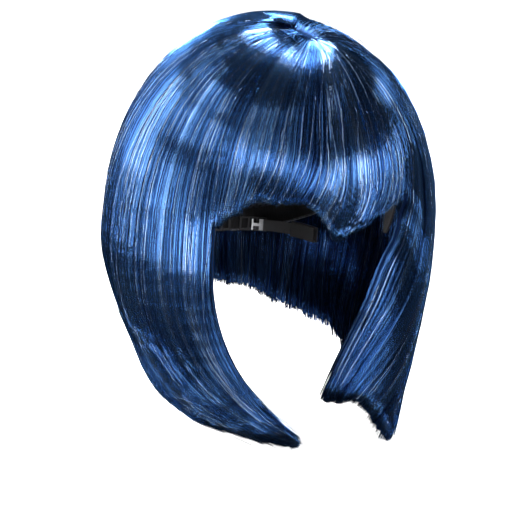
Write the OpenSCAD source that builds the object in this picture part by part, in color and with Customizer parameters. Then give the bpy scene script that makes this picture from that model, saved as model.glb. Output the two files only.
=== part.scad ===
// Chin-length bob wig with a pointed fringe.
// Hair lanes, a ventilated stretch cap and its nape adjusters, worn on a head.
// Origin: centre of the head opening, level with the brow.
// +Z is up along the head, -Y is the way the wearer faces, +X is the wearer's left.

/* [Head and cap] */
// Half width of the head
head_half_width = 76; // [72:1:78]
// Half length of the head, from brow to back
head_half_length = 97; // [92:1:99]
// Height of the crown above the brow line
head_height = 90; // [86:1:92]
// Depth scale of the head below the brow line
head_depth = 110; // [105:1:120]
// Thickness of the stretch net
cap_wall = 1.2; // [0.8:0.1:1.4]
// Width of the elastic bands and ribbons, as an angle down the head
band_angle = 8; // [6:1:10]
// Width of a lace ribbon
ribbon_width = 8; // [6:1:12]

/* [Hair shape] */
// Half width of the hair at its widest
hair_half_width = 114; // [112:1:118]
// Reach of the hair in front of its axis
hair_front = 118; // [117:1:122]
// Reach of the hair behind its axis
hair_back = 122; // [118:1:128]
// How far the hair's axis sits behind the head's
hair_axis_y = 10; // [8:1:12]
// Height of the crown of the hair above the brow line
hair_top = 106; // [105:1:110]
// Squareness of the dome, 2 is an ellipse
dome_power = 2.1; // [2:0.05:2.3]
// Height of the widest level at the sides and back
widest_side = -45; // [-50:1:-40]
// Height of the widest level at the front
widest_front = -10; // [-14:1:-6]
// Level below which the hair turns inwards
turn_in_z = -55; // [-60:1:-50]
// Thickness of the side and back hair
hair_wall = 8; // [6:0.5:9]
// Thickness of the fringe
fringe_wall = 5; // [4:0.5:6]

/* [Cut] */
// Height of the fringe's point
fringe_point_z = -28; // [-32:1:-24]
// Angle of the fringe's point from straight ahead
fringe_point_at = 2; // [0:1:4]
// Height of the fringe's two high arches
fringe_arch_z = 3; // [0:1:4]
// Height of the longest tips
tip_z = -172; // [-176:1:-168]
// Height of the cut at the middle of the back
back_cut_z = -110; // [-116:1:-104]
// Height of the cut where the back meets the sides
back_side_cut_z = -130; // [-134:1:-126]

/* [Hair lanes] */
// Half angle of the fringe lane, from straight ahead
fringe_angle = 38; // [37:1:39]
// Angle where the side lane meets the back lane
back_angle = 130; // [129:1:132]
// Half angle of the gap between two lanes
lane_gap = 0.5; // [0.4:0.1:0.8]
// Distance of the side lanes' fold lines from the middle plane
side_fold_x = 54; // [53:1:56]
// Distance of the fringe's fold line in front of the origin
fringe_fold_y = 59; // [57:1:61]
// Distance of the back lane's fold line behind the origin
back_fold_y = 56; // [54:1:58]
// Gap across a fold line
fold_gap = 2; // [1:0.5:3]

/* [Nape adjusters] */
// Centre of the adjusters' travel behind the origin
adjuster_y = 29; // [28:0.5:29]
// Inner radius of the adjuster straps
strap_r = 46.8; // [46:0.2:46.8]
// Thickness of an adjuster strap
strap_t = 1.2; // [0.8:0.1:1.2]
// Underside of the straps
strap_z = -60; // [-60:1:-59]
// Width of a strap
strap_width = 8; // [6:1:8]

/* [Hidden] */

// Clearance between the head and the net, and between sewn layers
fit = 2;
ply = 0.5;
cap_half_width = head_half_width + fit;
cap_half_length = head_half_length + fit;
cap_height = head_height + fit;
// Polar angle of the crown patch's edge
patch_angle = 21;
// Least height between the last row on the dome and the cut
last_drop = 10;
right = -1;
left = 1;

// ---- The head's surface -------------------------------------------------

// Point on the cap at azimuth th and polar angle a, moved outwards by off
function cap_point(th, a, off) = [
    (cap_half_width + off) * sin(a) * sin(th),
    -(cap_half_length + off) * sin(a) * cos(th),
    (a < 90 ? cap_height + off : head_depth + off) * cos(a)
];

// Signed azimuth between -180 and 180
function signed(th) = th > 180 ? th - 360 : th;

// Height of the cap's edge: brow, then over the ear, then the nape
function rim_z(th) = -15 + 47 * cos(th) + 22 * exp(-pow((abs(signed(th)) - 97) / 18, 2));
function rim_angle(th) = acos(rim_z(th) / (rim_z(th) > 0 ? cap_height : head_depth));

// Polar angle on the cap at height z
function angle_at(z) = acos(z / (z > 0 ? cap_height : head_depth));

// ---- The hair's surface -------------------------------------------------

function reach_y(th) = cos(th) > 0 ? hair_front : hair_back;
function hair_reach(th, inset = 0) =
    1 / sqrt(pow(sin(th) / (hair_half_width - inset), 2) + pow(cos(th) / (reach_y(th) - inset), 2));
function widest_z(th) = widest_side + (widest_front - widest_side) * pow(max(0, cos(th)), 2);

function clamp01(t) = min(1, max(0, t));
// Smooth step from 0 to 1
function ease(t) = let (u = clamp01(t)) u * u * (3 - 2 * u);

// How far the hair has turned in at height z, 1 is not at all. The right side turns in more;
// the left side's front hugs the cheek, from 1 at azimuth 20 to 0 at 55, and starts higher
function hug(a) = a < 0 ? 0 : 1 - ease((a - 20) / 35);
function turn_in(th, z) = let (a = signed(th), away = abs(a) - 40,
        amount = a < 0 ? 0.18 + 0.20 * ease(away / 70) : 0.08 + 0.30 * ease(away / 90) + 0.28 * hug(a))
    1 - amount * pow(max(0, turn_in_z + 38 * hug(a) - z) / 100, 1.5 - 0.7 * hug(a));

// Point on the dome at azimuth th and polar angle a
function dome_point(th, a, inset = 0) = let (r = hair_reach(th, inset) * sin(a), w = widest_z(th)) [
    r * sin(th),
    hair_axis_y - r * cos(th),
    w + (hair_top - inset - w) * pow(1 - pow(sin(a), dome_power), 1 / dome_power)
];

// Point on the hanging hair at azimuth th and height z
function hang_point(th, z, inset = 0) = let (r = hair_reach(th) * turn_in(th, z) - inset) [
    r * sin(th),
    hair_axis_y - r * cos(th),
    z
];

// Polar angle on the dome where the horizontal distance from the axis is r
function dome_angle(th, r) = asin(min(1, r / hair_reach(th)));

// Polar angle on the dome at height z, 90 at the widest level and below it
function height_angle(th, z) = let (w = widest_z(th))
    asin(pow(1 - pow(max(0, z - w) / (hair_top - w), dome_power), 1 / dome_power));

// Point on the hair at azimuth th and height z, on the dome or hanging
function hair_point(th, z, inset) = z > widest_z(th)
    ? dome_point(th, height_angle(th, z), inset)
    : hang_point(th, z, inset);

// Cut of the fringe: a point between two arches, steeper on the wearer's right, where the
// corner runs down to meet the side lane
function fringe_cut(th) = let (width = th < fringe_point_at ? 12 : 25) fringe_arch_z
    + (fringe_point_z - fringe_arch_z) * pow(clamp01(1 - abs(th - fringe_point_at) / width), 1.15)
    - 26 * pow(max(0, -th - 24) / 14, 1.4)
    + 6 * max(0, th - 24) / 14;

// Cut of the side lanes, s is 0 at the face and 1 at the back
function right_end(s) = let (th = 1 + 117 * pow(s, 1.6)) [th, tip_z + 44 * pow(th / 118, 1.3)];
function left_end(s) = [
    25 + 95 * pow(s, 1.2),
    tip_z + 20 - 29 * ease((s - 0.15) / 0.2) + 49 * pow(clamp01((s - 0.35) / 0.65), 1.2)
];
function side_cut(s, side) = side == right ? right_end(s) : left_end(s);

// Cut of the back, shortest in the middle
function back_cut(th) = back_side_cut_z
    + (back_cut_z - back_side_cut_z)
        * ease((abs(signed(th)) - back_angle) / (180 - back_angle));

// Where a lane starts on the dome: the crown ends there and the lane begins past a gap
function fold_reach(th, gap) = let (f = abs(signed(th)))
    f < fringe_angle ? (fringe_fold_y + hair_axis_y + gap) / cos(th) :
    f < back_angle ? (side_fold_x + gap) / abs(sin(th)) :
    (back_fold_y - hair_axis_y + gap) / abs(cos(th));

// One strand line of a hanging lane, from its fold to its cut, swept from th to end[0]. The
// sweep starts at the widest level, or at height sweep_z if that is higher
function lane_line(th, end, curl, inset, dome_rows, hang_rows, sweep_z = widest_side) = let (
    a0 = dome_angle(th, fold_reach(th, fold_gap / 2)),
    z0 = max(widest_z(th), end[1] + last_drop, sweep_z),
    a1 = height_angle(th, z0)
) concat(
    [for (i = [0:dome_rows - 1]) dome_point(th, a0 + (a1 - a0) * i / dome_rows, inset)],
    [for (i = [0:hang_rows]) let (t = i / hang_rows)
        hair_point(th + (end[0] - th) * pow(t, curl), z0 + (end[1] - z0) * t - 0.01, inset)]
);

// ---- Closed solids from two grids ---------------------------------------

function flat_list(rows) = [for (row = rows) for (p = row) p];

// A sheet with thickness: columns run with rising azimuth, points run downwards
module sheet(outer, inner) {
    m = len(outer);
    n = len(outer[0]);
    inside = m * n;
    polyhedron(
        points = concat(flat_list(outer), flat_list(inner)),
        faces = concat(
            [for (j = [0:m - 2]) for (i = [0:n - 2]) for (k = [0, 1])
                k == 0 ? [j * n + i, (j + 1) * n + i, (j + 1) * n + i + 1]
                       : [j * n + i, (j + 1) * n + i + 1, j * n + i + 1]],
            [for (j = [0:m - 2]) for (i = [0:n - 2]) for (k = [0, 1])
                k == 0 ? [inside + j * n + i, inside + (j + 1) * n + i + 1, inside + (j + 1) * n + i]
                       : [inside + j * n + i, inside + j * n + i + 1, inside + (j + 1) * n + i + 1]],
            [for (j = [0:m - 2]) for (k = [0, 1])
                k == 0 ? [(j + 1) * n, j * n, inside + j * n]
                       : [(j + 1) * n, inside + j * n, inside + (j + 1) * n]],
            [for (j = [0:m - 2]) for (k = [0, 1]) let (b = j * n + n - 1)
                k == 0 ? [b, b + n, inside + b + n] : [b, inside + b + n, inside + b]],
            [for (i = [0:n - 2]) for (k = [0, 1])
                k == 0 ? [i, i + 1, inside + i + 1] : [i, inside + i + 1, inside + i]],
            [for (i = [0:n - 2]) for (k = [0, 1]) let (b = (m - 1) * n + i)
                k == 0 ? [b + 1, b, inside + b] : [b + 1, inside + b, inside + b + 1]]
        )
    );
}

// A closed dome shell: columns all round, with a point at the pole of each side
module dome(outer, inner, outer_pole, inner_pole) {
    m = len(outer);
    n = len(outer[0]);
    inside = m * n;
    pole = 2 * m * n;
    polyhedron(
        points = concat(flat_list(outer), flat_list(inner), [outer_pole, inner_pole]),
        faces = [for (j = [0:m - 1]) let (c = j * n, d = ((j + 1) % m) * n) each concat(
            [[pole, d, c], [pole + 1, inside + c, inside + d]],
            [for (i = [0:n - 2]) each [
                [c + i, d + i, d + i + 1],
                [c + i, d + i + 1, c + i + 1],
                [inside + c + i, inside + d + i + 1, inside + d + i],
                [inside + c + i, inside + c + i + 1, inside + d + i + 1]
            ]],
            [[c + n - 1, d + n - 1, inside + d + n - 1], [c + n - 1, inside + d + n - 1, inside + c + n - 1]]
        )]
    );
}

// ---- Cap pieces ---------------------------------------------------------

// Patch of the head's surface: azimuths th0 to th1, from polar angle top to bottom, which
// are given for each column
module cap_sheet(th0, th1, cols, rows, top, bottom, off0, off1) {
    grid = function (off) [for (j = [0:cols]) let (th = th0 + (th1 - th0) * j / cols)
        [for (i = [0:rows]) let (t = i / rows)
            cap_point(th, top(th) + (bottom(th) - top(th)) * t, off)]];
    sheet(grid(off1), grid(off0));
}

module cap_mesh() {
    cols = 72;
    rows = 16;
    grid = function (off) [for (j = [0:cols - 1]) let (th = 360 * j / cols)
        [for (i = [1:rows]) cap_point(th, rim_angle(th) * i / rows, off)]];
    color("midnightblue")
        dome(grid(0), grid(-cap_wall), cap_point(0, 0, 0), cap_point(0, 0, -cap_wall));
}

// Cap of the head's surface down to polar angle a
module cap_disc(a, off0, off1) {
    cols = 36;
    rows = 3;
    grid = function (off) [for (j = [0:cols - 1]) [for (i = [1:rows])
        cap_point(360 * j / cols, a * i / rows, off)]];
    dome(grid(off1), grid(off0), cap_point(0, 0, off1), cap_point(0, 0, off0));
}

module front_band() {
    color("black") cap_sheet(-60, 60, 24, 2,
        function (th) rim_angle(th) - band_angle, function (th) rim_angle(th) - 0.3,
        -cap_wall - ply - 1, -cap_wall - ply);
}

module nape_band() {
    color("black") cap_sheet(118, 242, 24, 2,
        function (th) rim_angle(th) - band_angle, function (th) rim_angle(th) - 0.3,
        -cap_wall - ply - 1, -cap_wall - ply);
}

module crown_patch() {
    color("tan") cap_disc(patch_angle, ply, ply + 0.8);
}

// Stitched edge round the crown patch
module crown_patch_seam() {
    color("black") difference() {
        cap_disc(patch_angle + 2.5, ply, ply + 1.4);
        translate([0, 0, cap_height * cos(patch_angle + 0.6)]) cylinder(h = 20, r = 60);
    }
}

// Tongue in front of the ear, sewn over the net's edge
module ear_tab(side) {
    middle = 73;
    half = 11;
    th0 = side == right ? -middle - half : middle - half;
    color("black") cap_sheet(th0, th0 + 2 * half, 12, 6,
        function (th) rim_angle(th) - 5,
        function (th) angle_at(-38 + 28 * pow((abs(th) - middle) / half, 2)),
        ply, ply + 1.2);
}
module ear_tab_right() ear_tab(right);
module ear_tab_left() ear_tab(left);

// Straight ribbon down the inside of the net at azimuth th
module lace_ribbon(th) {
    rows = 8;
    a0 = patch_angle + 3;
    a1 = rim_angle(th) - band_angle - 1.8;
    grid = function (off) [for (j = [-1:2:1]) [for (i = [0:rows])
        let (a = a0 + (a1 - a0) * i / rows,
             half = atan(ribbon_width / 2 / ((cap_half_width + cap_half_length) / 2 * sin(a))))
        cap_point(th + j * half, a, off)]];
    color("darkslateblue") sheet(grid(-cap_wall - ply), grid(-cap_wall - ply - 0.7));
}
module lace_ribbon_1() lace_ribbon(120);
module lace_ribbon_2() lace_ribbon(150);
module lace_ribbon_3() lace_ribbon(180);
module lace_ribbon_4() lace_ribbon(210);
module lace_ribbon_5() lace_ribbon(240);

// Row of machine-sewn hair across the net at polar angle a, from azimuth th0 to th1
module weft(a, th0, th1) {
    color("darkblue") cap_sheet(th0, th1, 24, 1,
        function (th) a, function (th) a + 1.6, ply, ply + 1.8);
}
module fringe_weft() weft(60, -44, 44);
module weft_track_1() weft(32, 45, 315);
module weft_track_2() weft(43, 45, 315);
module weft_track_3() weft(54, 48, 312);
module weft_track_4() weft(65, 50, 310);
module weft_track_5() weft(76, 53, 307);
module weft_track_6() weft(91, 108, 252);
module weft_track_7() weft(104, 126, 234);

// Care label inside the nape, left blank
module care_label() {
    color("white") cap_sheet(172, 188, 4, 3,
        function (th) angle_at(-26), function (th) angle_at(-46), -4.4, -3.8);
}

// ---- Nape adjusters -----------------------------------------------------

// Bent bar about the adjusters' centre, between angles from the middle of the nape
module bent_bar(side, from, to, r0, r1, z0, height) {
    translate([0, adjuster_y, z0])
        rotate([0, 0, side == right ? 90 + from : 90 - to])
            rotate_extrude(angle = to - from, $fn = 96)
                translate([r0, 0]) square([r1 - r0, height]);
}

module adjuster_strap(side) {
    color("black") bent_bar(side, 24, 62, strap_r, strap_r + strap_t, strap_z, strap_width);
}
module adjuster_strap_right() adjuster_strap(right);
module adjuster_strap_left() adjuster_strap(left);

// Flat steel hook: a tail sewn to the strap, a narrow neck and a cross bar that catches
module adjuster_hook(side) {
    neck = 2;
    window = (strap_width - neck) / 2 + 1;
    color("silver") difference() {
        bent_bar(side, 14, 24, strap_r, strap_r + strap_t, strap_z, strap_width);
        for (z = [strap_z - 1, strap_z + strap_width + 1 - window])
            bent_bar(side, 15.2, 20.5, strap_r - 1, strap_r + strap_t + 1, z, window);
    }
}
module adjuster_hook_right() adjuster_hook(right);
module adjuster_hook_left() adjuster_hook(left);

// Ladder of sewn loops that the hook catches
module hook_loops(side) {
    loop_r = strap_r + strap_t + 1;
    pitch = 7;
    bar = 1.5;
    color("dimgray") difference() {
        bent_bar(side, 4, 4 + 3 * pitch + bar, loop_r, loop_r + 1, strap_z - 1, strap_width + 2);
        for (i = [0:2])
            bent_bar(side, 4 + bar + pitch * i, 4 + pitch * (i + 1),
                loop_r - 1, loop_r + 2, strap_z, strap_width);
    }
}
module hook_loops_right() hook_loops(right);
module hook_loops_left() hook_loops(left);

// Fabric tunnel that the strap slides in
module strap_sleeve(side) {
    color("black") difference() {
        bent_bar(side, 50, 78, strap_r - 0.9, strap_r + 3, strap_z - 1.2, strap_width + 2.4);
        bent_bar(side, 49, 79, strap_r - 0.3, strap_r + strap_t + 0.3, strap_z - 0.4, strap_width + 0.8);
    }
}
module strap_sleeve_right() strap_sleeve(right);
module strap_sleeve_left() strap_sleeve(left);

// ---- Hair ---------------------------------------------------------------

// Hair that stays on the cap, from the whorl out to the fold lines
module crown_hair() {
    cols = 72;
    rows = 5;
    grid = function (inset) [for (j = [0:cols - 1]) let (
            th = 360 * j / cols, a1 = dome_angle(th, fold_reach(th, -fold_gap / 2)))
        [for (i = [1:rows]) dome_point(th, a1 * i / rows, inset)]];
    color("royalblue") dome(grid(0), grid(hair_wall), [0, hair_axis_y, hair_top],
        [0, hair_axis_y, hair_top - hair_wall]);
}

module fringe_hair() {
    cols = 36;
    half = fringe_angle - lane_gap;
    grid = function (inset) [for (j = [0:cols]) let (th = -half + 2 * half * j / cols)
        lane_line(th, [th, fringe_cut(th)], 1, inset, 7, 3)];
    color("navy") sheet(grid(0), grid(fringe_wall));
}

// How late a side strand sweeps forward: 1 is evenly all the way down
function side_curl(s, side) = side == right ? 3 + 2 * s : 0.5 + 4.5 * s;

// Where the sweep starts: the left side's front tucks in right under the fringe
function side_sweep_z(s, side) = side == right ? widest_side : widest_side * ease(s / 0.15);

// Side lane: falls past the face and sweeps in under the chin
module side_hair(side) {
    cols = 20;
    th0 = fringe_angle + lane_gap;
    th1 = back_angle - lane_gap;
    grid = function (inset) [for (j = [0:cols]) let (
            s = side == right ? 1 - j / cols : j / cols,
            end = side_cut(s, side))
        lane_line(side * (th0 + (th1 - th0) * s), [side * end[0], end[1]],
            side_curl(s, side), inset, 6, 14, side_sweep_z(s, side))];
    color("mediumblue") sheet(grid(0), grid(hair_wall));
}
module right_side_hair() side_hair(right);
module left_side_hair() side_hair(left);

module back_hair() {
    cols = 24;
    th0 = back_angle + lane_gap;
    th1 = 360 - th0;
    grid = function (inset) [for (j = [0:cols]) let (th = th0 + (th1 - th0) * j / cols)
        lane_line(th, [th, back_cut(th)], 1, inset, 6, 6)];
    color("mediumblue") sheet(grid(0), grid(hair_wall));
}

cap_mesh();
front_band();
nape_band();
crown_patch();
crown_patch_seam();
ear_tab_right();
ear_tab_left();
lace_ribbon_1();
lace_ribbon_2();
lace_ribbon_3();
lace_ribbon_4();
lace_ribbon_5();
fringe_weft();
weft_track_1();
weft_track_2();
weft_track_3();
weft_track_4();
weft_track_5();
weft_track_6();
weft_track_7();
hook_loops_right();
hook_loops_left();
strap_sleeve_right();
strap_sleeve_left();
adjuster_strap_right();
adjuster_strap_left();
adjuster_hook_right();
adjuster_hook_left();
care_label();
crown_hair();
fringe_hair();
right_side_hair();
left_side_hair();
back_hair();
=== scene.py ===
"""A glossy blue bob wig: hair strands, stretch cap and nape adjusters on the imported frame."""
import math

import bpy
import numpy as np
from mathutils import Matrix, Vector


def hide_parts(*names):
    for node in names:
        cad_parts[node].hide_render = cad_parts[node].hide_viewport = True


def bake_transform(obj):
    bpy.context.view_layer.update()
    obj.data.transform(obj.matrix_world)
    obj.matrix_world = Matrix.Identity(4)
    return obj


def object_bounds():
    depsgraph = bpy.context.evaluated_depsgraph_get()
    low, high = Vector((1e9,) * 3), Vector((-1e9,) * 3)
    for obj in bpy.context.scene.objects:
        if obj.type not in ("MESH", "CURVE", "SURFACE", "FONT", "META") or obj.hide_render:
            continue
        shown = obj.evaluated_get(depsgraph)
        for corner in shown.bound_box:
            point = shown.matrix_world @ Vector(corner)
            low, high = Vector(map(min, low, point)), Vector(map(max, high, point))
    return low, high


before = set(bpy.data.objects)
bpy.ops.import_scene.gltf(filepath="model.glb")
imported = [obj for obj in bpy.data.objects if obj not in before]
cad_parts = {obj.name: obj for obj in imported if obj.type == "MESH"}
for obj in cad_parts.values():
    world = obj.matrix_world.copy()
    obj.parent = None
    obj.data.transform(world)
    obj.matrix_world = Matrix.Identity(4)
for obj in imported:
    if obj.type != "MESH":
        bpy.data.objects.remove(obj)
cad_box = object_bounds()

MM = 0.001

# ---- The hair's surface, in millimetres, the same as the CAD's ----------------
# Azimuths (th) are in degrees from the face, positive towards the wearer's left.
# Strands start at the part on the crown, and on the dome their angle down from it
# runs from 0 towards 90 degrees, which is the hair's widest level.

# Half the width, the depth in front of and behind the head's axis, and the axis's place
HALF_WIDTH, FRONT, BACK, AXIS_Y = 114.0, 118.0, 122.0, 10.0
# Height of the crown, and squareness of the dome's profile: 2 is an ellipse
TOP, POWER = 106.0, 2.1
# Height of the widest level, at the sides and at the face
WIDEST_SIDE, WIDEST_FRONT = -45.0, -10.0
# Height below which the hanging hair curves inwards
TURN_IN_Z = -55.0
# Azimuths where the fringe ends and where the back begins
FRINGE_HALF, BACK_FROM = 38.0, 130.0
# Height and azimuth of the fringe's point, and height of the arches beside it
POINT_Z, POINT_AT, ARCH_Z = -28.0, 2.0, 3.0
# Heights of the cut: right side's longest tip, middle of the back, ends of the back
TIP_Z, BACK_CUT, BACK_SIDE_CUT = -172.0, -110.0, -130.0
# Ends of the short part on the crown, seen from above
PART_FRONT, PART_BACK = np.array([4.0, -36.0]), np.array([-8.0, -16.0])
# Step down in front of the part, what it gains beside the part, and the tuft behind it
STEP_DOWN, STEP_BESIDE, TUFT = 2.2, 1.4, 3.0
# How deep the left side's front edge goes in under the fringe
TUCK = 6.0
HEAD_CENTRE = np.array([0.0, AXIS_Y, -20.0])
RIGHT, LEFT = -1, 1

# The four lanes of hair: range of azimuths
LANES = {
    "fringe": (-FRINGE_HALF, FRINGE_HALF),
    "right_side": (-BACK_FROM, -FRINGE_HALF),
    "left_side": (FRINGE_HALF, BACK_FROM),
    "back": (BACK_FROM, 360 - BACK_FROM),
}
# Unevenness of each lane's cut
FRAY = {"fringe": 1.5, "right_side": 3.4, "left_side": 2.4, "back": 2.2}
# Points along each strand, on the dome and below it
ROWS = {"fringe": (14, 9), "right_side": (12, 15), "left_side": (12, 15), "back": (14, 9)}


def sin(d):
    return np.sin(np.radians(d))


def cos(d):
    return np.cos(np.radians(d))


def signed(th):
    """The same azimuth between -180 and 180."""
    return (th + 180.0) % 360.0 - 180.0


def ease(t):
    t = np.clip(t, 0, 1)
    return t * t * (3 - 2 * t)


def reach(th):
    """Horizontal distance from the axis to the hair's widest level."""
    depth = np.where(cos(th) > 0, FRONT, BACK)
    return 1 / np.sqrt((sin(th) / HALF_WIDTH) ** 2 + (cos(th) / depth) ** 2)


def widest_z(th):
    return WIDEST_SIDE + (WIDEST_FRONT - WIDEST_SIDE) * np.clip(cos(th), 0, None) ** 2


def turn_in(th, z):
    """How far the hanging hair has curved inwards: 1 is not at all."""
    a = signed(th)
    away = np.abs(a) - 40
    hug = np.where(a < 0, 0, 1 - ease((a - 20) / 35))
    right = 0.18 + 0.20 * ease(away / 70)
    left = 0.08 + 0.30 * ease(away / 90) + 0.28 * hug
    below = np.clip(TURN_IN_Z + 38 * hug - z, 0, None) / 100
    return 1 - np.where(a < 0, right, left) * below ** (1.5 - 0.7 * hug)


def height_angle(th, z):
    """Angle down from the part at which the dome has height z."""
    w = widest_z(th)
    up = np.clip((z - w) / (TOP - w), 0, 1)
    return np.degrees(np.arcsin((1 - up**POWER) ** (1 / POWER)))


def part_place(th):
    """Where on the short part strand th starts: 0 is its front end, 1 its back end."""
    a = signed(th)
    return np.where(a < 0, ease((-a - 8) / 100), ease((a - 95) / 80))


def part_step(th, t):
    """Extra depth near the part: raised behind it, a step down in front of and beside it."""
    a = signed(th)
    behind = np.where(a < 0, ease((-a - 100) / 35), ease((a - 138) / 14))
    beside = np.where(a < 0, 0, ease((a - 50) / 40))
    drop = (STEP_DOWN + STEP_BESIDE * beside) * np.exp(-((t * (13 - 8 * beside)) ** 2))
    lift = -TUFT * np.exp(-((t * 6) ** 2))
    return drop * (1 - behind) + lift * behind


def dome_point(th, a, inset, swirl=0.0):
    """Point on the dome on the line from the part to azimuth th, a degrees down."""
    s = sin(a)
    turn = th + swirl * (1 - s) ** 3
    end_x = reach(turn) * sin(turn)
    end_y = AXIS_Y - reach(turn) * cos(turn)
    u = part_place(th)
    part_x = PART_FRONT[0] + (PART_BACK[0] - PART_FRONT[0]) * u
    part_y = PART_FRONT[1] + (PART_BACK[1] - PART_FRONT[1]) * u
    x = part_x + (end_x - part_x) * s
    y = part_y + (end_y - part_y) * s
    depth = np.where(y < AXIS_Y, FRONT, BACK)
    rho = np.clip(np.hypot(x / HALF_WIDTH, (y - AXIS_Y) / depth), 0, 1)
    w = widest_z(np.degrees(np.arctan2(x, AXIS_Y - y)))
    up = (1 - rho**POWER) ** (1 / POWER)
    z = w + (TOP - w) * up
    nx, ny, nz = x / HALF_WIDTH**2, (y - AXIS_Y) / depth**2, up / (TOP - w)
    size = np.sqrt(nx * nx + ny * ny + nz * nz) + 1e-9
    return np.stack([x - inset * nx / size, y - inset * ny / size, z - inset * nz / size], -1)


def hang_point(th, z, inset):
    """Point on the hair below its widest level."""
    r = reach(th) * turn_in(th, z) - inset
    return np.stack([r * sin(th), AXIS_Y - r * cos(th), z], -1)


def fringe_cut(th):
    """Height of the fringe's cut: a point between two arches, steeper on the wearer's right."""
    width = np.where(th < POINT_AT, 12, 25)
    point = (POINT_Z - ARCH_Z) * np.clip(1 - np.abs(th - POINT_AT) / width, 0, 1) ** 1.15
    right_corner = -26 * (np.clip(-th - 24, 0, None) / 14) ** 1.4
    left_corner = 6 * np.clip(th - 24, 0, None) / 14
    return ARCH_Z + point + right_corner + left_corner


def side_cut(s, side):
    """Azimuth and height of the cut of a side lane, s from 0 at the face to 1 at the back."""
    if side == RIGHT:
        th = 1 + 117 * s**2.1
        return th, TIP_Z + 44 * (th / 118) ** 1.3
    front_step = 29 * ease((s - 0.15) / 0.2)
    rise = 49 * np.clip((s - 0.35) / 0.65, 0, 1) ** 1.2
    return 25 + 95 * s**1.2, TIP_Z + 20 - front_step + rise


def back_cut(th):
    t = (np.abs(signed(th)) - BACK_FROM) / (180 - BACK_FROM)
    return BACK_SIDE_CUT + (BACK_CUT - BACK_SIDE_CUT) * ease(t)


def side_share(th):
    """Place of a strand in its side lane: 0 is the lane's front edge, 1 its back edge."""
    return np.clip((np.abs(th) - FRINGE_HALF) / (BACK_FROM - FRINGE_HALF), 0, 1)


def lane_end(lane, th):
    """End azimuth, end height and sweep power of the strand that leaves at azimuth th."""
    if lane == "fringe":
        sweep = 6 * np.sin(np.pi * np.clip((th + FRINGE_HALF) / 66, 0, 1)) + 5 * ease((th - 4) / 20)
        return th - sweep, fringe_cut(th - sweep), 2.0 + 0 * th
    if lane == "back":
        a = signed(th)
        spread_out = 11 * (1 - ease((np.abs(a) - BACK_FROM) / 22))
        return th - np.sign(a) * spread_out, back_cut(th), 4.0 + 0 * th
    side = RIGHT if lane == "right_side" else LEFT
    s = side_share(th)
    end, z = side_cut(s, side)
    return side * end, z, 3 + 2 * s if side == RIGHT else 0.5 + 4.5 * s


def sweep_top(lane, th, end_z):
    """Height where the sweep towards the face starts."""
    if lane == "fringe":
        return end_z + 45
    z = np.maximum(widest_z(th), end_z + 10)
    if lane == "left_side":
        z = np.maximum(z, WIDEST_SIDE * ease(side_share(th) / 0.15))
    return z


def tuck(lane, th, z):
    """How far a strand lies deeper: the left side's front edge goes in under the fringe."""
    if lane != "left_side":
        return 0 * z
    return TUCK * (1 - ease(side_share(th) / 0.13)) * ease((50 - z) / 45) * ease((z + 85) / 45)


def strand_lines(lane, th, a_start, inset, swirl, trim):
    """Centre lines of strands, (strand, row, xyz). inset is (strand, row)."""
    dome_rows, hang_rows = ROWS[lane]
    th = th[:, None]
    end, end_z, curl = lane_end(lane, th)
    end_z = end_z + trim
    sweep_z = sweep_top(lane, th, end_z)
    a_end = height_angle(th, sweep_z)
    t = np.linspace(0, 1, dome_rows, endpoint=False)[None, :]
    a = a_start[:, None] + (a_end - a_start[:, None]) * t
    height = widest_z(th) + (TOP - widest_z(th)) * (1 - sin(a) ** POWER) ** (1 / POWER)
    dome = dome_point(th, a, inset[:, :dome_rows] + tuck(lane, th, height), swirl[:, None])
    t = np.linspace(0, 1, hang_rows)[None, :]
    z = sweep_z + (end_z - sweep_z) * t
    turned = th + (end - th) * t**curl
    deep = inset[:, dome_rows:] + tuck(lane, th, z)
    over = dome_point(turned, height_angle(turned, z), deep)
    above = (z > widest_z(turned))[..., None]
    return np.concatenate([dome, np.where(above, over, hang_point(turned, z, deep))], axis=1)


# ---- Meshes ------------------------------------------------------------------

# Sides of a strand's tube
TUBE_SIDES = 3


def make_mesh(name, verts, faces, tone):
    """A smooth mesh from points in millimetres, arrays of faces and a tone for each point."""
    me = bpy.data.meshes.new(name)
    loops = np.concatenate([f.ravel() for f in faces]).astype(np.int32)
    sizes = np.concatenate([np.full(len(f), f.shape[1]) for f in faces]).astype(np.int32)
    starts = np.concatenate([[0], np.cumsum(sizes)[:-1]]).astype(np.int32)
    me.vertices.add(len(verts))
    me.vertices.foreach_set("co", (verts * MM).astype(np.float32).ravel())
    me.loops.add(len(loops))
    me.loops.foreach_set("vertex_index", loops)
    me.polygons.add(len(sizes))
    me.polygons.foreach_set("loop_start", starts)
    me.polygons.foreach_set("use_smooth", np.full(len(sizes), True))
    layer = me.attributes.new("tone", "FLOAT", "POINT")
    layer.data.foreach_set("value", tone.astype(np.float32).ravel())
    me.update(calc_edges=True)
    me.validate()
    ob = bpy.data.objects.new(name, me)
    bpy.context.scene.collection.objects.link(ob)
    return ob


def unit(vectors):
    return vectors / (np.linalg.norm(vectors, axis=2, keepdims=True) + 1e-9)


def sideways(lines):
    """Unit vectors across strands, along the hair's surface."""
    return unit(np.cross(np.gradient(lines, axis=1), lines - HEAD_CENTRE))


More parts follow.
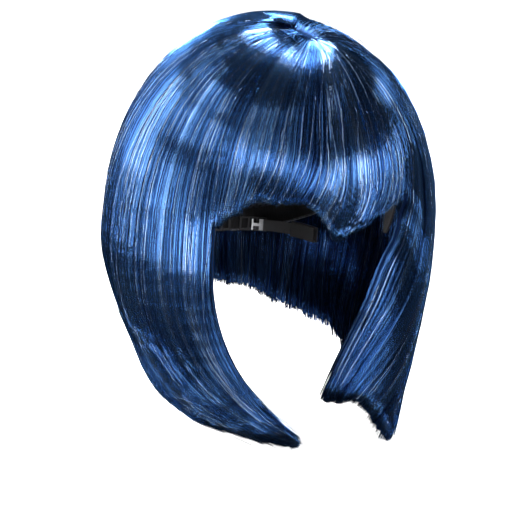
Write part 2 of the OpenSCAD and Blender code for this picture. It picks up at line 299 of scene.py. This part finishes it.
def tubes(name, lines, radius, tone):
    """Closed tubes along lines (strand, row, xyz), radius and tone (strand, row)."""
    strands, rows, _ = lines.shape
    along = unit(np.gradient(lines, axis=1))
    side = sideways(lines)
    up = np.cross(side, along)
    angle = 2 * np.pi * np.arange(TUBE_SIDES) / TUBE_SIDES
    ring = (np.cos(angle)[None, None, :, None] * up[:, :, None, :]
            + np.sin(angle)[None, None, :, None] * side[:, :, None, :])
    verts = (lines[:, :, None, :] + radius[:, :, None, None] * ring).reshape(-1, 3)
    start = np.arange(strands)[:, None] * rows * TUBE_SIDES
    row = (np.arange(rows - 1) * TUBE_SIDES)[None, :, None]
    i = np.arange(TUBE_SIDES)
    j = (i + 1) % TUBE_SIDES
    near = start[:, :, None] + row
    far = near + TUBE_SIDES
    walls = np.stack([near + i, far + i, far + j, near + j], -1)
    caps = np.concatenate([start + i, start + (rows - 1) * TUBE_SIDES + i[::-1]])
    return make_mesh(name, verts, [walls.reshape(-1, 4), caps], np.repeat(tone[:, :, None], TUBE_SIDES, 2))


# ---- Strands -------------------------------------------------------------------

# First seed of the patterns across a lane, and number of cells before they repeat
LOCK_SEED, NOISE_CELLS = 40, 4096
# Share of strands that are much lighter than the rest
PALE_SHARE = 0.04
FLY_AWAY_RADIUS = 0.16
# The shell under the strands: depth, thickness, columns across a lane and first angle down
SHELL_DEPTH, SHELL_WALL, SHELL_COLUMNS, SHELL_FROM = 4.0, 1.2, 260, 0.1


def smooth_noise(x, seed, cell):
    """Repeatable one-dimensional noise between -1 and 1."""
    table = np.random.default_rng(seed).uniform(-1, 1, NOISE_CELLS)
    p = np.asarray(x) / cell
    i = np.floor(p).astype(int)
    f = ease(p - i)
    return table[i % NOISE_CELLS] * (1 - f) + table[(i + 1) % NOISE_CELLS] * f


def middle_locks(th):
    return smooth_noise(th, LOCK_SEED + 1, 2.4)


def locks(th):
    """How far the locks stand out across a lane: three widths of lock together."""
    wide = smooth_noise(th, LOCK_SEED, 6.5)
    narrow = smooth_noise(th, LOCK_SEED + 2, 0.9)
    return 0.45 * wide + 0.35 * middle_locks(th) + 0.3 * narrow


def valleys(th):
    """Depth of the narrow sunk gaps between locks, whose strands also get painted shade in their tone: 0
    between the gaps.
    """
    return np.clip(-smooth_noise(th, LOCK_SEED + 7, 0.8) - 0.45, 0, 1) * 2.2


def bunches(th):
    """How far the tips of neighbouring strands lean sideways together."""
    return 2.2 * smooth_noise(th, LOCK_SEED + 3, 3.4) + smooth_noise(th, LOCK_SEED + 4, 1.3)


def lane_strands(lane, count, deep, seed, radius, from_part, crowd=1.0):
    """A lane's strands: lines, radius and tone. deep is their range of depth, and from_part
    the share that starts at the part. The rest starts further down."""
    r = np.random.default_rng(seed)
    th0, th1 = LANES[lane]
    q = (np.arange(count) + r.uniform(0, 1, count)) / count
    th = th0 + 0.2 + (th1 - th0 - 0.4) * q**crowd
    t = np.linspace(0, 1, sum(ROWS[lane]))[None, :]
    rooted = r.random(count) < from_part
    a_start = np.where(rooted, 0.15 + 3.2 * r.random(count) ** 2, r.uniform(10, 60, count))
    depth = r.uniform(deep[0], deep[1], count)
    lock, valley = locks(th), valleys(th)

    inset = depth[:, None] - 1.5 * lock[:, None] * np.sin(np.pi * np.clip(t * 1.1, 0, 1)) ** 0.6
    inset = inset + 1.3 * valley[:, None] * ease(t * 4)
    sink = np.where(rooted[:, None], 0.5 * np.exp(-t * 40), 6.0 * np.exp(-t * 9))
    inset = np.clip(inset + sink + part_step(th[:, None], t), 0.2, None)
    swirl = 9 + r.normal(0, 4, count)
    trim = np.abs(r.normal(0, FRAY[lane], count)) + 1.6 * middle_locks(th)
    lines = strand_lines(lane, th, a_start, inset, swirl, np.clip(trim, 0, None)[:, None])

    phase = r.uniform(0, 2 * np.pi, (count, 3))
    waves = 0.4 * np.sin(3 * t + phase[:, :1]) * t + 0.08 * np.sin(19 * t + phase[:, 1:2])
    stray = 0.5 * r.normal(0, 1, (count, 1)) * t**3
    frayed = 0.5 * FRAY[lane] * r.normal(0, 1, (count, 1)) * t**9
    lean = waves + stray + frayed + bunches(th)[:, None] * t
    lines = lines + sideways(lines) * lean[..., None]

    size = radius * r.uniform(0.6, 1.25, count)
    taper = np.clip(np.minimum(t * 10 + 0.45, (1 - t) * 12 + 0.25), 0, 1)
    # Tone: random for each strand, plus painted light on locks that stand out and painted shade in the
    # sunk gaps
    tone = 0.5 + 0.34 * lock + r.normal(0, 0.17, count) - 0.3 * valley
    tone = np.where(r.random(count) < PALE_SHARE, tone + 0.3, tone)
    along_tone = 0.07 * np.sin(7 * t + phase[:, 2:])
    return lines, size[:, None] * taper, np.clip(tone[:, None] + along_tone, 0, 1)


def fly_aways(lane, count, seed):
    """A few thin strands that stand off the surface and cross the others."""
    r = np.random.default_rng(seed)
    th0, th1 = LANES[lane]
    th = r.uniform(th0 + 4, th1 - 4, count)
    t = np.linspace(0, 1, sum(ROWS[lane]))[None, :]
    lift = r.uniform(0.3, 2.4, count)[:, None] * np.sin(np.pi * t) ** 2
    a_start = r.uniform(5, 50, count)
    trim = r.uniform(-2.0, 4, count)[:, None]
    lines = strand_lines(lane, th, a_start, 0.1 - lift, 20 + 0 * th, trim)
    across = r.normal(0, 5.0, (count, 1))
    drift = across * np.sin(np.pi * t * r.uniform(0.6, 1.4, (count, 1))) ** 2
    lines = lines + sideways(lines) * drift[..., None]
    return lines, np.full(lines.shape[:2], FLY_AWAY_RADIUS), np.full(lines.shape[:2], 0.95)


def under_shell(lane):
    """Closed grooved shell under a lane's strands, painted darker in its deeper grooves as shade."""
    th = np.linspace(*LANES[lane], SHELL_COLUMNS)
    count = sum(ROWS[lane])
    t = np.linspace(0, 1, count)[None, :]
    fine = smooth_noise(th, LOCK_SEED + 5, 0.6)
    groove = 0.7 * fine + 0.6 * middle_locks(th)
    trim = 1.5 + 1.3 * FRAY[lane] + 1.2 * smooth_noise(th, LOCK_SEED + 6, 0.6)[:, None]
    grooved = SHELL_DEPTH + groove[:, None] * np.minimum(1, t * 6)
    a_start, swirl = np.full(SHELL_COLUMNS, SHELL_FROM), np.full(SHELL_COLUMNS, 9.0)
    skins = [strand_lines(lane, th, a_start, grooved + extra, swirl, trim) for extra in (0, SHELL_WALL)]
    verts = np.concatenate([skin.reshape(-1, 3) for skin in skins])
    outer = np.arange(SHELL_COLUMNS * count).reshape(SHELL_COLUMNS, count)
    a, b, c, d = outer[:-1, :-1], outer[1:, :-1], outer[1:, 1:], outer[:-1, 1:]
    to_inner = SHELL_COLUMNS * count
    front = np.stack([a, d, c, b], -1).reshape(-1, 4)
    back = np.stack([a, b, c, d], -1).reshape(-1, 4) + to_inner
    rims = [outer[:, 0], outer[::-1, -1], outer[0, ::-1], outer[-1, :]]
    edges = [np.stack([e[:-1], e[1:], e[1:] + to_inner, e[:-1] + to_inner], -1) for e in rims]
    # Painted shade: the tone is darker where the groove lies deeper
    painted_groove_shade = np.repeat(np.clip(0.45 - 0.35 * groove, 0, 1), count)
    return make_mesh(lane + "_under", verts, [front, back, np.concatenate(edges)], np.tile(painted_groove_shade, 2))


# ---- Materials -----------------------------------------------------------------

# Rough radius of the cap in metres, which turns an angle into a distance round it
GIRTH_RADIUS = 0.08


def new_material(name):
    mat = bpy.data.materials.new(name)
    mat.use_nodes = True
    tree = mat.node_tree
    bsdf = next(n for n in tree.nodes if n.type == "BSDF_PRINCIPLED")
    return mat, tree, bsdf


def add(tree, kind, inputs=(), **settings):
    """A node with its settings, and its inputs given by name as numbers or sockets."""
    node = tree.nodes.new("ShaderNode" + kind)
    for key, value in settings.items():
        setattr(node, key, value)
    for key, value in dict(inputs).items():
        if isinstance(value, bpy.types.NodeSocket):
            tree.links.new(value, node.inputs[key])
        else:
            node.inputs[key].default_value = value
    return node


def ramp(tree, source, stops):
    """Colours from stops of a place and a red, green and blue."""
    node = add(tree, "ValToRGB", {"Fac": source})
    elements = node.color_ramp.elements
    elements[0].position, elements[0].color = stops[0][0], stops[0][1] + (1,)
    elements[1].position, elements[1].color = stops[-1][0], stops[-1][1] + (1,)
    for place, colour in stops[1:-1]:
        elements.new(place).color = colour + (1,)
    return node.outputs["Color"]


def spread(tree, source, low, high):
    return add(tree, "MapRange", {"Value": source, "To Min": low, "To Max": high}).outputs["Result"]


def maths(tree, kind, a, b, c=0.0):
    return add(tree, "Math", {0: a, 1: b, 2: c}, operation=kind).outputs[0]


def stretched(tree, place, factors):
    return add(tree, "VectorMath", {0: place, 1: factors}, operation="MULTIPLY").outputs["Vector"]


def object_place(tree):
    return add(tree, "TexCoord").outputs["Object"]


def round_place(tree):
    """Metres along the head's girth, metres up, and metres front to back."""
    xyz = add(tree, "SeparateXYZ", {"Vector": object_place(tree)}).outputs
    girth = maths(tree, "MULTIPLY", maths(tree, "ARCTAN2", xyz["X"], xyz["Y"]), GIRTH_RADIUS)
    return add(tree, "CombineXYZ", {"X": girth, "Y": xyz["Z"], "Z": xyz["Y"]}).outputs["Vector"]


def noise(tree, scale, detail=3.0, place=None):
    inputs = {"Vector": place or object_place(tree), "Scale": scale, "Detail": detail}
    return add(tree, "TexNoise", inputs).outputs["Fac"]


def cells(tree, place, scale, randomness=1.0):
    """Distance from the middle of each cell."""
    inputs = {"Vector": place, "Scale": scale, "Randomness": randomness}
    return add(tree, "TexVoronoi", inputs).outputs["Distance"]


def ribs(tree, place, period, direction="X", wobble=0.0):
    """Soft ridges one period of metres apart: 1 on the ridges, 0 between them."""
    inputs = {"Vector": place, "Scale": math.pi / 10 / period, "Distortion": wobble}
    return add(tree, "TexWave", inputs, bands_direction=direction).outputs["Fac"]


def bump(tree, bsdf, height, strength, distance):
    node = add(tree, "Bump", {"Height": height, "Strength": strength, "Distance": distance})
    tree.links.new(node.outputs["Normal"], bsdf.inputs["Normal"])


def hair_material(name, stops, metallic, roughness, coat):
    """Glossy fibre: colour from each strand's tone, which holds painted light and shade as well as random
    tone, with a finer mottle along it.
    """
    mat, tree, bsdf = new_material(name)
    tone = add(tree, "Attribute", attribute_name="tone").outputs["Fac"]
    mixed = maths(tree, "MULTIPLY_ADD", noise(tree, 900), 0.2, tone)
    tree.links.new(ramp(tree, mixed, stops), bsdf.inputs["Base Color"])
    tree.links.new(spread(tree, tone, roughness + 0.05, roughness - 0.05), bsdf.inputs["Roughness"])
    bsdf.inputs["Metallic"].default_value = metallic
    bsdf.inputs["Coat Weight"].default_value = coat
    bsdf.inputs["Coat Roughness"].default_value = 0.22
    bsdf.inputs["Specular Tint"].default_value = (0.5, 0.7, 1.0, 1)
    return mat


def woven(name, pattern, dark, light, roughness, sheen, depth):
    """Textile: two colours over a pattern of threads, soft wear in the colour, raised threads."""
    mat, tree, bsdf = new_material(name)
    height = pattern(tree)
    wear = noise(tree, 60, 5)
    level = maths(tree, "MULTIPLY_ADD", wear, 0.35, height)
    tree.links.new(ramp(tree, level, [(0.15, dark), (1.1, light)]), bsdf.inputs["Base Color"])
    tree.links.new(spread(tree, wear, roughness - 0.1, roughness + 0.1), bsdf.inputs["Roughness"])
    bsdf.inputs["Sheen Weight"].default_value = sheen
    bump(tree, bsdf, height, 0.6, depth)
    return mat


def elastic(name, dark, light, period=0.0011):
    """Ribbed elastic: ribs across the band over a finer weave."""
    def pattern(tree):
        place = round_place(tree)
        weave = spread(tree, ribs(tree, place, period * 0.6, "Y"), 0.5, 1.0)
        return maths(tree, "MULTIPLY", ribs(tree, place, period), weave)
    return woven(name, pattern, dark, light, 0.8, 0.08, 0.0003)


def net(name, dark, light, cell):
    """Knitted net: two slanted families of threads with dark openings between them."""
    def pattern(tree):
        place = round_place(tree)
        one = ribs(tree, place, cell, "DIAGONAL")
        two = ribs(tree, stretched(tree, place, (-1, 1, 1)), cell, "DIAGONAL")
        return maths(tree, "POWER", maths(tree, "MAXIMUM", one, two), 3.0)
    return woven(name, pattern, dark, light, 0.7, 0.2, 0.0003)


def lace(name, dark, light):
    """Narrow lace: ribbed edges joined by round openings."""
    def pattern(tree):
        place = round_place(tree)
        openings = spread(tree, cells(tree, place, 420.0, 0.25), 0.0, 1.4)
        return maths(tree, "MAXIMUM", openings, ribs(tree, place, 0.004, "Y"))
    return woven(name, pattern, dark, light, 0.65, 0.3, 0.0003)


def stitched_hair(name, dark, light):
    """Sewn weft: bundles of fibre side by side, held by a line of machine stitches."""
    def pattern(tree):
        place = round_place(tree)
        stitches = spread(tree, ribs(tree, place, 0.0013, "DIAGONAL"), 0.6, 1.0)
        return maths(tree, "MULTIPLY", ribs(tree, place, 0.0021, "X", 1.5), stitches)
    return woven(name, pattern, dark, light, 0.5, 0.1, 0.0004)


def satin(name, dark, light):
    """Smooth woven satin."""
    def pattern(tree):
        place = object_place(tree)
        return maths(tree, "MULTIPLY", ribs(tree, place, 0.0004), ribs(tree, place, 0.0005, "Z"))
    return woven(name, pattern, dark, light, 0.45, 0.2, 0.0001)


def scalp_film():
    """Thin skin-coloured film with a faint mottle and fine pores."""
    mat, tree, bsdf = new_material("scalp_film")
    mottle = noise(tree, 70, 6)
    stops = [(0.3, (0.40, 0.21, 0.12)), (0.5, (0.52, 0.30, 0.19)), (0.7, (0.62, 0.39, 0.27))]
    tree.links.new(ramp(tree, mottle, stops), bsdf.inputs["Base Color"])
    tree.links.new(spread(tree, mottle, 0.42, 0.62), bsdf.inputs["Roughness"])
    bump(tree, bsdf, cells(tree, object_place(tree), 900.0), 0.35, 0.0002)
    return mat


def brushed_steel():
    """Sheet steel brushed along its length, slightly duller in the mottle."""
    mat, tree, bsdf = new_material("brushed_steel")
    grain = noise(tree, 260, 6, stretched(tree, object_place(tree), (1.0, 14.0, 14.0)))
    stops = [(0.3, (0.36, 0.37, 0.39)), (0.7, (0.62, 0.63, 0.66))]
    tree.links.new(ramp(tree, grain, stops), bsdf.inputs["Base Color"])
    tree.links.new(spread(tree, grain, 0.22, 0.42), bsdf.inputs["Roughness"])
    bsdf.inputs["Metallic"].default_value = 1.0
    bump(tree, bsdf, grain, 0.15, 0.0001)
    return mat


HAIR_COLOURS = [(0.2, (0.004, 0.014, 0.075)), (0.6, (0.030, 0.092, 0.25)),
                (0.95, (0.095, 0.205, 0.41)), (1.0, (0.23, 0.30, 0.43))]
# Colours of the shell under the strands: darker than the strands, as painted shade
SHADED_UNDER_COLOURS = [(0.2, (0.003, 0.010, 0.045)), (0.9, (0.014, 0.05, 0.17))]
HAIR = hair_material("hair_fibre", HAIR_COLOURS, metallic=0.96, roughness=0.20, coat=0.04)
SHADED_UNDER = hair_material("hair_under_painted_shade", SHADED_UNDER_COLOURS, metallic=0.8, roughness=0.4, coat=0.0)
BAND = elastic("black_elastic", (0.002, 0.002, 0.003), (0.012, 0.012, 0.015))
WEFT = stitched_hair("weft", (0.003, 0.010, 0.045), (0.020, 0.065, 0.20))
# Looks of the nodes that keep their CAD shape, by the start of the node's name
CAD_LOOKS = {
    "cap_mesh": net("cap_net", (0.002, 0.003, 0.008), (0.030, 0.034, 0.050), 0.0021),
    "front_band": BAND,
    "nape_band": BAND,
    "ear_tab": BAND,
    "strap_sleeve": BAND,
    "adjuster_strap": elastic("strap_elastic", (0.003, 0.003, 0.004), (0.02, 0.02, 0.024), 0.0008),
    "adjuster_hook": brushed_steel(),
    "hook_loops": elastic("loop_elastic", (0.006, 0.006, 0.008), (0.035, 0.035, 0.04), 0.0009),
    "lace_ribbon": lace("cap_lace", (0.003, 0.004, 0.008), (0.040, 0.044, 0.060)),
    "weft_track": WEFT,
    "fringe_weft": WEFT,
    "crown_patch": scalp_film(),
    "crown_patch_seam": elastic("seam_thread", (0.05, 0.03, 0.02), (0.24, 0.16, 0.11), 0.0008),
    "care_label": satin("label_satin", (0.62, 0.61, 0.58), (0.86, 0.85, 0.82)),
}
for node_name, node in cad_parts.items():
    fits = [key for key in CAD_LOOKS if node_name.startswith(key)]
    if fits:
        for slot in node.material_slots:
            slot.material = CAD_LOOKS[max(fits, key=len)]


# ---- Hair pieces ---------------------------------------------------------------

def finish_piece(ob, mat, replaced=()):
    """Gives a piece of a lane its look, moves it into world space and hides the CAD solids it stands in
    for.
    """
    ob.data.materials.append(mat)
    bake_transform(ob)
    if replaced:
        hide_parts(*replaced)


# Strands in each of a lane's three outer layers, and their radius
STRANDS, RADIUS = 1150, 0.30
# Name, range of depth under the surface, and share of strands that start at the part
LAYERS = [("outer", (0.2, 1.4), 0.72), ("middle", (1.0, 2.4), 0.75), ("deep", (2.2, 3.7), 0.8)]
# Above 1, a lane's strands lie closer together at its front edge
CROWD = {"left_side": 1.35}
# The thicker strands inside the shell, which close the view into the wig
INNER_DEPTH, INNER_RADIUS = (5.8, 7.5), 0.5
FLY_AWAYS = 14
# CAD solids that each lane's pieces stand in for
REPLACED = {
    "fringe": ["fringe_hair"],
    "right_side": ["right_side_hair"],
    "left_side": ["left_side_hair"],
    "back": ["back_hair", "crown_hair"],
}

for number, lane in enumerate(LANES):
    finish_piece(under_shell(lane), SHADED_UNDER, REPLACED[lane])
    for layer, (name, deep, from_part) in enumerate(LAYERS):
        seed = 100 + 10 * number + layer
        strands = lane_strands(lane, STRANDS, deep, seed, RADIUS, from_part, CROWD.get(lane, 1.0))
        finish_piece(tubes(lane + "_" + name + "_strands", *strands), HAIR)
    strands = lane_strands(lane, STRANDS // 2, INNER_DEPTH, 200 + 10 * number, INNER_RADIUS, 0.0)
    finish_piece(tubes(lane + "_inner_strands", *strands), HAIR)
    strands = fly_aways(lane, FLY_AWAYS, 300 + number)
    finish_piece(tubes(lane + "_fly_aways", *strands), HAIR)


# ---- Floor, light and camera -----------------------------------------------------

WHITE = (1, 1, 1, 1)
# Glow of the floor for the camera only, and strength of the even light from all round
FLOOR_GLOW, EVEN_LIGHT = 0.97, 0.03
# Metres across the floor, and metres from it up to the CAD's lowest point
FLOOR_SIZE, FLOOR_GAP = 12, 0.0005
# Each panel gives one highlight, since a strand shines only where it lies square to the
# direction halfway between panel and camera. Left and right are the camera's. Name,
# azimuth and elevation in degrees, distance and size in metres, and power in watts.
LIGHTS = [
    # Fringe, and the crown in front of and behind the part
    ("front_key", -4, 16, 1.5, (0.5, 0.32), 10),
    ("top_high", 170, 74, 1.4, (0.45, 0.4), 21),
    ("top_low", 165, 45, 1.4, (0.5, 0.8), 32),
    # Wide bands down the near side, then the far side
    ("left_level", -80, 4, 1.5, (0.6, 0.5), 9),
    ("left_high", -80, 30, 1.5, (0.5, 0.4), 6),
    ("left_top", -80, 48, 1.5, (0.4, 0.3), 3.4),
    ("right_key", 35, 16, 1.5, (0.3, 0.3), 2.2),
    ("right_top", 70, 42, 1.5, (0.3, 0.3), 2),
    # Near side's back edge, front edge and tip, from level down to below the chin
    ("near_chin", -55, -45, 1.5, (0.3, 0.3), 1.5),
    ("left_back", -106, 20, 1.5, (0.7, 0.9), 16),
    ("near_edge", -55, -12, 1.5, (0.3, 0.25), 7),
    ("near_low", -4, -28, 1.5, (0.4, 0.3), 4),
    ("tip_low", -4, -44, 1.5, (0.4, 0.3), 6),
    # Rims at both outlines
    ("rim_near", -150, 30, 1.5, (0.4, 0.3), 45),
    ("rim_far", 105, 4, 1.5, (0.5, 1.0), 42),
]
# Degrees to the wearer's right, above the level and tilted, and metres from the target
YAW, ELEVATION, ROLL, DISTANCE = 20.3, 13.8, 3.9, 1.4844
TARGET = Vector((-0.008, 0, -0.0631))
# Focal length and sensor width in millimetres
LENS, SENSOR = 150, 36


def direction(azimuth, elevation):
    """Unit vector from the head, at an azimuth from the face and an elevation in degrees."""
    a, e = math.radians(azimuth), math.radians(elevation)
    return Vector((math.sin(a) * math.cos(e), -math.cos(a) * math.cos(e), math.sin(e)))


def floor():
    """White floor that the longest tips touch, lifted towards white as far as the camera sees."""
    bpy.ops.mesh.primitive_plane_add(size=FLOOR_SIZE, location=(0, 0, cad_box[0][2] - FLOOR_GAP))
    ob = bpy.context.object
    ob.name = "floor"
    mat, tree, bsdf = new_material("floor")
    bsdf.inputs["Base Color"].default_value = (0.8, 0.8, 0.8, 1)
    bsdf.inputs["Roughness"].default_value = 0.9
    bsdf.inputs["Emission Color"].default_value = WHITE
    seen = add(tree, "LightPath").outputs["Is Camera Ray"]
    tree.links.new(spread(tree, seen, 0.0, FLOOR_GLOW), bsdf.inputs["Emission Strength"])
    ob.data.materials.append(mat)
    ob.visible_glossy = False
    ob.visible_shadow = False


def area_light(name, azimuth, elevation, distance, size, power):
    data = bpy.data.lights.new(name, "AREA")
    data.shape = "RECTANGLE"
    data.size, data.size_y = size
    data.energy = power
    ob = bpy.data.objects.new(name, data)
    way = direction(azimuth, elevation)
    ob.location = way * distance
    ob.rotation_euler = way.to_track_quat("Z", "Y").to_euler()
    ob.visible_camera = False
    bpy.context.scene.collection.objects.link(ob)


def studio_world():
    """White background for the camera, and a faint even light for everything else."""
    world = bpy.data.worlds.new("studio")
    bpy.context.scene.world = world
    world.use_nodes = True
    tree = world.node_tree
    sky = tree.nodes["Background"]
    sky.inputs["Color"].default_value = WHITE
    seen = add(tree, "LightPath").outputs["Is Camera Ray"]
    tree.links.new(spread(tree, seen, EVEN_LIGHT, 1.0), sky.inputs["Strength"])


def camera():
    back = direction(-YAW, ELEVATION)
    right = (-back).cross(Vector((0, 0, 1))).normalized()
    up = right.cross(-back)
    r = math.radians(ROLL)
    tilted_right = math.cos(r) * right + math.sin(r) * up
    tilted_up = -math.sin(r) * right + math.cos(r) * up
    data = bpy.data.cameras.new("camera")
    data.lens, data.sensor_width = LENS, SENSOR
    data.clip_end = 20
    ob = bpy.data.objects.new("camera", data)
    turn = Matrix((tilted_right, tilted_up, back)).transposed()
    ob.matrix_world = Matrix.Translation(TARGET + back * DISTANCE) @ turn.to_4x4()
    bpy.context.scene.collection.objects.link(ob)
    bpy.context.scene.camera = ob


floor()
for light in LIGHTS:
    area_light(*light)
studio_world()
camera()
bpy.context.scene.view_settings.view_transform = "Standard"
